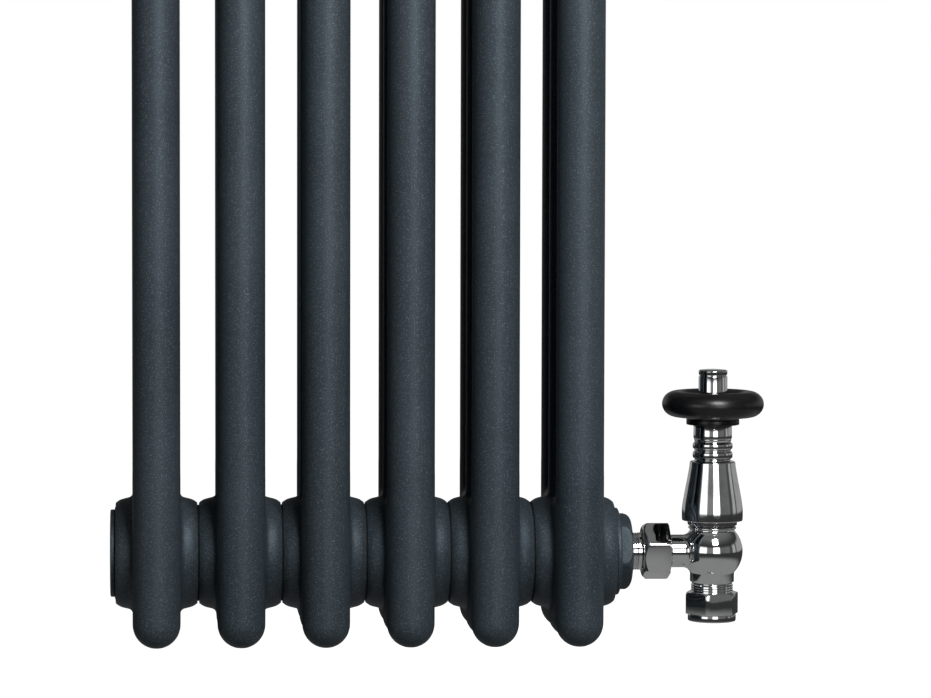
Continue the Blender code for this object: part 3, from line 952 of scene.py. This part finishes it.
# ---------------------------------------------------------------- end fittings
@dataclass
class EndFittings:
    """What closes the four open hubs: the valve's bush, two plugs and the vent with its bleed valve."""

    block: RadiatorBlock
    spigot: float = 20.8
    flange: float = 23.6
    flange_depth: float = 2.4
    hex_radius: float = 21.3
    hex_turn: float = 43.0
    key_radius: float = 6.9

    def place(self, side: int, height: float) -> Matrix:
        """Where an end fitting sits, with its own +Z pointing out of the radiator."""
        end = self.block.count * self.block.pitch / 2 * MM
        turn = ALONG_X if side > 0 else AGAINST_X
        return Matrix.Translation((side * end, self.block.middle_y, height)) @ turn

    def seat(self) -> list[Point]:
        """The threaded spigot and the flange's rounded edge, from the inner end to the flange's rim."""
        spigot = thread(self.spigot, self.spigot - 0.7, -13.0, -0.6, 2.0)
        rim = arc((self.flange - 0.9, self.flange_depth - 0.9), (0.9, 0.9), 0, 90, 8)
        return [(0, -13.0), *spigot, (self.spigot - 0.7, 0.0), (self.flange - 0.3, 0.0), (self.flange, 0.3), *rim]

    def build(self) -> None:
        """Model the four fittings and the bleed valve."""
        self.build_bush()
        self.build_plug("plug_lower_left", -1, self.block.lower_z)
        self.build_plug("plug_upper_right", 1, self.block.upper_z)
        self.build_vent()

    def build_bush(self) -> None:
        """The reducing bush: a domed hexagon on a round flange, bored for the valve's tail."""
        place = self.place(1, self.block.lower_z)
        end = self.block.count * self.block.pitch / 2
        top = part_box("valve_bush")[1].x / MM - end
        bush = bench.turned([*self.seat(), (0, self.flange_depth)], steps=128)
        dome = [(21.45, top - 5.4), (21.0, top - 3.6), (20.0, top - 1.7), (18.9, top - 0.6), (17.6, top), (0, top)]
        blank = bench.hexagonal(self.hex_radius, [(0, 1.0), (21.45, 1.0), *dome], self.hex_turn, UPRIGHT, 1.6, 4)
        bench.shape(bush, blank, Cut.JOIN)
        bore = [(0, -20), (10.4, -20), (10.4, top - 0.9), (11.3, top + 0.1), (11.3, 20), (0, 20)]
        bench.shape(bush, bench.turned(bore), Cut.REMOVE)
        bench.soften(bush, 0.35, 2)
        bench.deliver(bench.settle(bush, place), "reducing_bush", PAINT, Body.RADIATOR, ["valve_bush"])

    def build_plug(self, node: str, side: int, height: float) -> None:
        """A blanking plug with a hexagonal key socket in a raised boss.

        Args:
            node: The CAD plug that it stands for.
            side: Which end of the radiator, 1 or -1.
            height: The hub's height.
        """
        face = self.flange_depth
        outline = [*self.seat(), (17.2, face), (16.6, face - 0.5), (11.4, face - 0.5), (10.8, face), (8.6, face),
                   (0, face)]
        plug = bench.turned(outline, steps=128)
        bench.shape(plug, bench.prism(6, self.key_radius, -8, 20, 0), Cut.REMOVE)
        bench.soften(plug, 0.2, 2)
        bench.deliver(bench.settle(plug, self.place(side, height)), f"blanking_{node}", PAINT, Body.RADIATOR, [node])

    def build_vent(self) -> None:
        """The vent bush, the small plated valve in it and the square-headed screw that opens it."""
        place = self.place(-1, self.block.upper_z)
        face = self.flange_depth
        outline = [*self.seat(), (17.2, face), (16.6, face - 0.5), (12.4, face - 0.5), (11.8, face), (0, face)]
        bush = bench.turned(outline, steps=128)
        bench.shape(bush, bench.rod(8.8, -20, 20), Cut.REMOVE)
        bench.soften(bush, 0.2, 2)
        bench.deliver(bench.settle(bush, place), "vent_plug", PAINT, Body.RADIATOR, ["vent_bush"])

        face += 0.3
        collar = [(0, -11.0), *thread(8.5, 8.0, -11.0, face - 1.0, 1.2), (8.5, face), (10.2, face), (10.5, face + 0.3)]
        collar += [*arc((9.6, face + 1.5), (0.9, 0.9), 0, 90, 6), (6.4, face + 2.4), (6.0, face + 2.0),
                   (4.2, face + 2.0), (0, face + 2.0)]
        valve = bench.turned(collar, steps=96)
        bench.shape(valve, bench.rod(3.6, -4, 30), Cut.REMOVE)
        bench.shape(valve, bench.rod(1.6, -30, 10, steps=32), Cut.REMOVE)
        bench.deliver(bench.settle(valve, place), "bleed_valve", CHROME, Body.RADIATOR, ["bleed_valve_body"])

        outline = [(0, -3.6), (1.2, -3.6), *thread(3.2, 2.8, -1.6, 1.3, 0.7), (3.0, 1.5), (0, 1.5)]
        screw = bench.turned(outline, steps=48)
        head = bench.prism(4, 3.0, 1.0, 5.5, 45)
        bench.shape(head, bench.turned([(0, 0.5), (3.2, 0.5), (3.2, 4.7), (2.3, 5.5), (0, 5.5)], steps=48), Cut.KEEP)
        bench.shape(screw, head, Cut.JOIN)
        bench.soften(screw, 0.1, 1)
        bench.deliver(bench.settle(screw, place), "bleed_key_screw", BRASS, Body.BLEED_SCREW, ["bleed_screw"])


# ---------------------------------------------------------------- valve
@dataclass
class AngleValve:
    """The angled valve: a round body, a union to the radiator, a nut for the pipe and a bell over the headwork."""

    block: RadiatorBlock
    ball: float = 16.5
    fillet: float = 4.2
    neck: float = 8.9
    stub: float = 11.9
    union_hex: float = 16.0
    union_turn: float = 70.0
    nut_hex: float = 15.0
    nut_turn: float = -110.0
    steps: int = 128

    def __post_init__(self) -> None:
        """Find the valve's upright axis from the CAD neck ring, and its height from the lower hubs."""
        low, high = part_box("beaded_neck")
        middle = (low + high) / 2
        self.upright = Matrix.Translation((middle.x, middle.y, self.block.lower_z))
        self.along = self.upright @ ALONG_X
        self.nut_end = (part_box("union_nut")[1].x - middle.x) / MM

    def body_outline(self) -> list[Point]:
        """The body about its upright axis: threaded stub, ball, waist and top collar.

        Returns:
            The outline from the bottom to the top.
        """
        low = math.degrees(math.asin(-11.4 / self.ball))
        high = math.degrees(math.asin(10.9 / self.ball))
        stub = [(0, -30.0), (10.6, -30.0), *thread(11.45, 10.95, -29.6, -17.9, 1.3), (10.9, -17.3), (11.0, -16.9)]
        stub += [(11.7, -16.6), (self.stub, -16.2), (self.stub, -11.9)]
        ball = arc((0, 0), (self.ball, self.ball), low + 1.5, high, 44)
        waist = [(12.15, 11.35), (12.1, 11.8), (12.35, 12.1), *arc((12.5, 12.8), (0.55, 0.6), -80, 80, 8), (12.4, 13.6)]
        return [*stub, *ball, *waist, (12.4, 14.1), (12.2, 14.25), (0, 14.25)]

    def neck_outline(self) -> list[Point]:
        """The neck about the level axis: the threaded end in the nut, and a fillet that runs out on the ball.

        Returns:
            The outline from the radiator end to inside the ball.
        """
        reach = self.ball + self.fillet - 0.06
        centre = (self.neck + self.fillet, -math.sqrt(reach ** 2 - (self.neck + self.fillet) ** 2))
        lean = math.degrees(math.atan2(-centre[1], -centre[0]))
        flare = arc(centre, (self.fillet, self.fillet), 180, lean - 3, 16)
        start = [(0, -32.0), *thread(12.2, 11.6, -32.0, -24.4, 1.4), (11.7, -23.6), (9.3, -22.9), (self.neck, -22.5)]
        return [*start, *flare, (flare[-1][0] - 1.5, -6.0), (0, -6.0)]

    def build(self) -> None:
        """Model the body and everything that is fixed to it."""
        self.build_body()
        self.build_union()
        self.build_pipe_nut()
        self.build_bell()

    def build_body(self) -> None:
        """The plated body with its water ways bored."""
        body = bench.turned(self.body_outline(), self.upright, self.steps)
        bench.shape(body, bench.turned(self.neck_outline(), self.along, self.steps), Cut.JOIN)
        ways = [(0, -31), (10.2, -31), (7.8, -27.0), (7.8, -18.0), (5.5, -17.6), (5.5, -6.6), (8.5, -6.4), (8.5, 4.0),
                (9.8, 4.2), (9.8, 30), (0, 30)]
        bench.shape(body, bench.turned(ways, self.upright, 64), Cut.REMOVE)
        bench.shape(body, bench.rod(5.2, -40, 0, self.along), Cut.REMOVE)
        bench.deliver(body, "angle_valve_body", CHROME, Body.RADIATOR, ["valve_body"], 40)

    def build_union(self) -> None:
        """The tailpiece and the captive union nut."""
        tail = [(6.0, -33.6), (11.6, -33.6), (11.6, -35.8), (8.8, -35.8), (8.8, -38.5), (9.7, -38.9)]
        tail += [*arc((9.8, -39.3), (0.3, 0.3), 90, 0, 4), (10.1, -40.9), (9.7, -41.2)]
        tail += [*thread(10.15, 9.35, -41.3, -64.0, 1.15), (6.0, -64.0)]
        tailpiece = bench.turned(tail, self.along, self.steps, hollow=True)
        bench.deliver(tailpiece, "union_tail", CHROME, Body.RADIATOR, ["union_tailpiece"])

        end = self.nut_end
        envelope = [(0, -38.3), (12.9, -38.3), (13.6, -38.1), (16.2, -35.5), (16.2, end - 1.2), (15.0, end - 0.05),
                    (14.6, end), (0, end)]
        nut = bench.hexagonal(self.union_hex, envelope, self.union_turn, UPRIGHT, 0.9, 4)
        bench.shape(nut, bench.rod(12.5, -36.1, 0), Cut.REMOVE)
        bench.shape(nut, bench.rod(10.4, -50, -35), Cut.REMOVE)
        bench.soften(nut, 0.22, 2)
        bench.deliver(bench.settle(nut, self.along), "union_hex_nut", CHROME, Body.RADIATOR, ["union_nut"])

    def build_pipe_nut(self) -> None:
        """The compression nut with the round collar under it."""
        envelope = [(0, -33.9), (15.3, -33.9), (15.3, -24.1), (14.2, -22.6), (13.4, -22.3), (0, -22.3)]
        nut = bench.hexagonal(self.nut_hex, envelope, self.nut_turn, UPRIGHT, 0.7, 4)
        collar = [(0, -38.0), (11.9, -38.0), *arc((12.2, -37.2), (0.8, 0.8), -90, 0, 6), (13.0, -34.6), (12.7, -34.2),
                  (12.7, -33.0), (0, -33.0)]
        bench.shape(nut, bench.turned(collar, steps=self.steps), Cut.JOIN)
        bench.shape(nut, bench.rod(11.7, -32.8, 0), Cut.REMOVE)
        mouth = [(0, -50), (8.6, -50), (8.6, -38.1), (7.8, -37.3), (7.8, -30), (0, -30)]
        bench.shape(nut, bench.turned(mouth), Cut.REMOVE)
        bench.soften(nut, 0.2, 2)
        bench.settle(nut, self.upright)
        bench.deliver(nut, "pipe_compression_nut", CHROME, Body.RADIATOR, ["compression_nut"])

    def build_bell(self) -> None:
        """The bell over the headwork and the beaded ring that finishes its neck."""
        skirt = [(13.2, 14.35), (13.35, 14.5), (13.35, 16.4), (13.6, 16.65),
                 *arc((15.9, 17.25), (0.5, 0.6), -90, 10, 6)]
        flank = flowing([(16.5, 19.2), (16.45, 22.4), (16.05, 26.2), (15.4, 30.2), (14.65, 34.2), (13.85, 38.4),
                         (13.1, 42.6), (12.45, 46.2)], 6)
        crown = [*arc((11.6, 48.1), (0.75, 0.8), 12, 90, 8), (9.7, 48.9), (11.2, 44.0), (14.4, 24.0),
                 (12.7, 18.0), (12.7, 14.3)]
        bell = bench.turned([*skirt, *flank, *crown], self.upright, self.steps, hollow=True)
        bench.deliver(bell, "bell_cover", CHROME, Body.RADIATOR, ["bell_shroud"], 40)

        beads = flowing([(9.9, 49.2), (9.7, 49.6), (9.7, 50.0), (10.2, 50.5), (10.62, 51.0), (10.75, 51.6),
                         (10.75, 53.2), (10.6, 53.8), (10.1, 54.3), (9.75, 54.9), (10.1, 55.5), (10.6, 56.0),
                         (10.75, 56.6), (10.75, 58.0), (10.6, 58.6), (10.1, 59.1), (9.75, 59.6), (9.9, 60.1),
                         (10.1, 60.6), (10.1, 60.95)], 4)
        ring = bench.turned([(6.4, 49.2), *beads, (6.4, 60.95)], self.upright, self.steps, hollow=True)
        bench.deliver(ring, "beaded_neck_ring", CHROME, Body.RADIATOR, ["beaded_neck"], 40)


@dataclass
class HandWheel:
    """The black wheel with its plated ferrule, washer and cap, which all turn with the stem."""

    valve: AngleValve
    rim_radius: float = 19.9
    rim_height: float = 80.0
    rim_half_width: float = 7.56
    steps: int = 128

    def build(self) -> None:
        """Model the four pieces from the bottom up."""
        place = self.valve.upright
        base = self.valve.block.lower_z
        rim_top, cap_top = ((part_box(node)[1].z - base) / MM for node in ("handwheel", "wheel_cap"))
        ferrule = [(3.3, 61.2), *arc((9.9, 61.8), (0.5, 0.6), -90, 0, 6), (10.4, 68.1), (10.1, 68.5), (3.3, 68.5)]
        self.add(ferrule, "wheel_collar", CHROME, "wheel_ferrule")
        boss = [(3.3, 68.8), (13.7, 68.8), *arc((13.8, 69.3), (0.5, 0.5), -80, 0, 5),
                *arc((13.8, 71.2), (0.5, 0.5), 0, 60, 4)]
        centre = (self.rim_radius, self.rim_height)
        rim = arc(centre, (self.rim_half_width, rim_top - self.rim_height), -116, 166, 72)
        web = [(12.3, 81.6), (11.9, 81.8), (11.0, 81.6), (3.3, 81.6)]
        self.add([*boss, (14.6, 72.6), *rim, *web], "hand_wheel", BLACK, "handwheel")
        washer = [(3.3, 81.9), (11.7, 81.9), (11.9, 82.1), *arc((10.9, 82.8), (1.0, 0.9), 0, 80, 8), (3.3, 83.9)]
        self.add(washer, "dished_washer", CHROME, "wheel_washer")
        cap = [(6.0, 84.2), (7.6, 84.2), (7.8, 84.4), (7.8, cap_top - 4.1), (7.65, cap_top - 3.8), (7.3, cap_top - 3.7),
               (7.3, cap_top - 3.0), (7.65, cap_top - 2.9), *arc((7.0, cap_top - 1.2), (0.8, 0.9), -10, 72, 8)]
        cap += [(5.0, cap_top - 0.1), (2.5, cap_top - 0.01), (0, cap_top), (0, cap_top - 2.7), (6.0, cap_top - 2.7)]
        wheel_cap = bench.turned([*cap, cap[0]], place, self.steps)
        bench.deliver(wheel_cap, "cap_dome", CHROME, Body.WHEEL, ["wheel_cap"], 40)

    def add(self, outline: Sequence[Point], name: str, finish: Finish, node: str) -> None:
        """Turn a ring about the stem and mount it on the wheel.

        Args:
            outline: Its closed outline.
            name: The piece's name.
            finish: What it is finished in.
            node: The CAD node that it stands for.
        """
        ring = bench.turned(outline, self.valve.upright, self.steps, hollow=True)
        bench.deliver(ring, name, finish, Body.WHEEL, [node], 40)


# ---------------------------------------------------------------- wall brackets
@dataclass
class WallBrackets:
    """Two painted saddles under the upper hubs, each welded to a plate with two screw holes."""

    block: RadiatorBlock
    width: float = 14.0
    thick: float = 5.0
    saddle: float = 30.7
    plate_width: float = 40.0
    plate_low: float = -62.0
    plate_high: float = 45.0
    holes: Sequence[float] = (33.5, 12.5)
    hole_radius: float = 4.5

    def build(self) -> None:
        """Model one bracket at each CAD bracket's place."""
        for name in ("wall_bracket_left", "wall_bracket_right"):
            low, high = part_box(name)
            bracket = self.bracket()
            bench.settle(bracket, Matrix.Translation(((low.x + high.x) / 2, 0, 0)))
            bench.deliver(bracket, f"{name}_saddle", PAINT, Body.RADIATOR, [name])

    def box(self, low: Sequence[float], high: Sequence[float]) -> Object:
        """A block between two corners, in millimetres."""
        bench.clear()
        size = [(b - a) * MM for a, b in zip(low, high)]
        middle = [(b + a) / 2 * MM for a, b in zip(low, high)]
        bpy.ops.mesh.primitive_cube_add(size=1.0, location=middle, scale=size)
        return bench.settle(bpy.context.object)

    def bracket(self) -> Object:
        """One bracket at X = 0 with its plate's back on the wall.

        Returns:
            The bracket.
        """
        half = self.width / 2
        centre = Matrix.Translation((0, self.block.middle_y, self.block.upper_z)) @ ALONG_X
        rim = self.saddle + self.thick
        ring = [(self.saddle, -half), (rim, -half), (rim, half), (self.saddle, half)]
        arm = bench.turned(ring, centre, 120, hollow=True)
        middle = self.block.middle_y / MM
        bench.shape(arm, self.box((-30, middle - 60, -11.0), (30, middle + 60, 60)), Cut.REMOVE)
        root = self.box((-half, middle + 28.5, -56.0), (half, -3.0, -10.5))
        bench.shape(root, bench.rod(self.saddle, -40, 40, centre, 120), Cut.REMOVE)
        bench.shape(arm, root, Cut.JOIN)
        plate = self.box((-self.plate_width / 2, -5.0, self.plate_low), (self.plate_width / 2, 0, self.plate_high))
        bench.shape(plate, arm, Cut.JOIN)
        upright = Matrix.Rotation(math.pi / 2, 4, "X")
        for height in self.holes:
            hole = bench.rod(self.hole_radius, -20, 20, Matrix.Translation((0, 0, height * MM)) @ upright, 48)
            bench.shape(plate, hole, Cut.REMOVE)
        return bench.soften(plate, 0.6, 2, 40)


# ---------------------------------------------------------------- inner parts
@dataclass
class InnerParts:
    """CAD pieces that stay as they are and only get a finish."""

    def dress(self) -> None:
        """Put each inner piece in its finish."""
        nipples = [f"nipple_{level}_{number}" for level in ("upper", "lower") for number in range(1, 6)]
        finishes = {
            STEEL: [*nipples, "wheel_screw"],
            BRASS: ["headwork", "gland_nut", "valve_stem", "valve_disc", "compression_olive"],
            RUBBER: ["union_seal", "stem_seal", "disc_washer"],
        }
        for finish, names in finishes.items():
            for name in names:
                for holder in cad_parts[name].material_slots:
                    holder.material = finish.material()
            log.info("%s on %d inner pieces", finish.name, len(names))


# ---------------------------------------------------------------- studio
@dataclass
class Studio:
    """A pale floor, soft lamps round the object, and the camera."""

    floor_height: float = -0.66
    floor_size: float = 14.0
    camera_at: Sequence[float] = (-0.11083, -2.05022, -0.27586)
    camera_yaw: float = -1.89
    camera_pitch: float = -2.649
    camera_lens: float = 140.81
    camera_shift: Sequence[float] = (0.2, -0.06)
    ambient: float = 0.012

    def build(self) -> None:
        """Set up the floor, the surroundings, the lamps and the camera."""
        self.build_floor()
        self.build_surroundings()
        self.build_lamps()
        self.build_camera()
        bpy.context.scene.view_settings.view_transform = "Standard"
        bpy.context.scene.view_settings.look = "None"

    def build_floor(self) -> None:
        """A wide pale floor, which isn't part of the object."""
        bench.clear()
        bpy.ops.mesh.primitive_plane_add(size=self.floor_size, location=(0, 0, self.floor_height))
        floor = bpy.context.object
        floor.name = "studio_floor"
        material = bpy.data.materials.new("pale_floor")
        material.use_nodes = True
        graph = Graph(material.node_tree)
        cloud = graph.noise(graph.place(), 3.0, 3.0)
        graph.surface({
            "Base Color": graph.blend(cloud, (0.80, 0.80, 0.80, 1), (0.84, 0.84, 0.84, 1)),
            "Roughness": 0.9,
            "Emission Color": (1.0, 1.0, 1.0, 1),
            "Emission Strength": 1.0,
        })
        floor.data.materials.append(material)
        floor.visible_glossy = False
        floor.visible_diffuse = False

    def build_surroundings(self) -> None:
        """A dark room with soft windows in front and pale screens at the sides and behind."""
        world = bpy.data.worlds.new("studio_surroundings")
        bpy.context.scene.world = world
        world.use_nodes = True
        graph = Graph(world.node_tree)
        way = graph.node("ShaderNodeTexCoord", output="Generated")
        split = graph.node("ShaderNodeSeparateXYZ", None, {0: way})
        x, y, z = (Signal(graph, split.socket.node.outputs[k]) for k in range(3))
        bearing = graph.maths("ARCTAN2", x, 0.0 - y) * (1 / math.tau) + 0.5
        height = graph.maths("ARCSINE", z) * (1 / math.pi) + 0.5
        round_room = graph.node("ShaderNodeValToRGB", {"stops": self.stops(self.around(), 360)}, {0: bearing})
        lower = graph.between(height, 0.468, 0.488)
        upper = 1 - graph.between(height, 0.57, 0.62)
        ceiling = graph.between(height, 0.62, 0.80) * 0.12
        ground = (1 - graph.between(height, 0.34, 0.42)) * 0.22
        mirrored = Signal(graph, round_room.socket) * lower * upper + ceiling + ground + 0.04
        seen = graph.node("ShaderNodeLightPath", output="Is Camera Ray")
        glossy = graph.node("ShaderNodeLightPath", output="Is Glossy Ray")
        shown = seen + glossy * mirrored + (1 - seen) * (1 - glossy) * self.ambient
        background = graph.node("ShaderNodeBackground", None, {"Color": shown, "Strength": 1.0})
        graph.node("ShaderNodeOutputWorld", None, {"Surface": background})

    @staticmethod
    def around() -> list[tuple[float, float]]:
        """How bright the room is at each bearing: 0 is straight in front and 90 is to the right.

        Returns:
            Bearings in degrees from -180 to 180, each with its brightness.
        """
        behind_left = [(-180, 0.30), (-138, 0.34), (-135, 0.02), (-118, 0.02)]
        left = [(-114, 0.08), (-98, 0.08), (-95, 0.30), (-91, 0.05), (-72, 0.04), (-70, 0.32), (-66, 0.32), (-64, 0.04)]
        windows = [(-58, 0.05), (-55, 1.6), (-30, 1.6), (-27, 0.20), (-5, 0.20), (-2, 3.0), (19, 3.0), (22, 0.10)]
        right = [(60, 0.12), (66, 0.03), (74, 0.03), (78, 0.36), (90, 0.40), (92, 0.04), (96, 0.04)]
        return [*behind_left, *left, *windows, *right, (100, 0.30), (180, 0.30)]

    @staticmethod
    def stops(values: Sequence[tuple[float, float]], span: float) -> list[tuple[float, Colour]]:
        """Bearings and brightnesses as a ramp's stops.

        Args:
            values: Bearings with their brightnesses.
            span: The whole turn, in the bearings' unit.

        Returns:
            Positions from 0 to 1 with grey colours.
        """
        return [(bearing / span + 0.5, (level, level, level, 1.0)) for bearing, level in values]

    def lamp(self, name: str, at: Sequence[float], aim: Sequence[float], size: Sequence[float], power: float,
             mirrored: bool = False) -> None:
        """A rectangular lamp.

        Args:
            name: Its name.
            at: Where it hangs.
            aim: What it points at.
            size: Its width and height in metres.
            power: Its power in watts.
            mirrored: Whether shiny pieces reflect it.
        """
        bench.clear()
        bpy.ops.object.light_add(type="AREA", location=at)
        lamp = bpy.context.object
        lamp.name = name
        lamp.data.shape = "RECTANGLE"
        lamp.data.size, lamp.data.size_y = size
        lamp.data.energy = power
        lamp.rotation_euler = (Vector(aim) - Vector(at)).to_track_quat("-Z", "Y").to_euler()
        lamp.visible_glossy = mirrored
        lamp.visible_camera = False

    def build_lamps(self) -> None:
        """A main lamp above in front, which shiny pieces reflect, and a weak one at the right."""
        middle = (0.0, -0.09, -0.3)
        self.lamp("front_lamp", (0.30, -1.20, 0.40), middle, (0.45, 0.55), 15, True)
        self.lamp("side_lamp", (1.6, -0.9, 0.0), middle, (0.8, 1.2), 5)

    def build_camera(self) -> None:
        """The camera, above the valve's wheel and to its left, looking a little down."""
        bench.clear()
        tilt = math.radians(90 + self.camera_pitch)
        bpy.ops.object.camera_add(location=self.camera_at, rotation=(tilt, 0, math.radians(self.camera_yaw)))
        camera = bpy.context.object
        camera.name = "studio_camera"
        camera.data.sensor_width = 36.0
        camera.data.lens = self.camera_lens
        camera.data.shift_x, camera.data.shift_y = self.camera_shift
        camera.data.clip_end = 50
        camera.data.dof.use_dof = False
        bpy.context.scene.camera = camera


def main() -> None:
    """Build everything in order."""
    logging.basicConfig(level=logging.INFO, format="%(message)s")
    block = RadiatorBlock()
    block.build()
    EndFittings(block).build()
    valve = AngleValve(block)
    valve.build()
    HandWheel(valve).build()
    WallBrackets(block).build()
    InnerParts().dress()
    Studio().build()


if __name__ == "__main__":
    main()
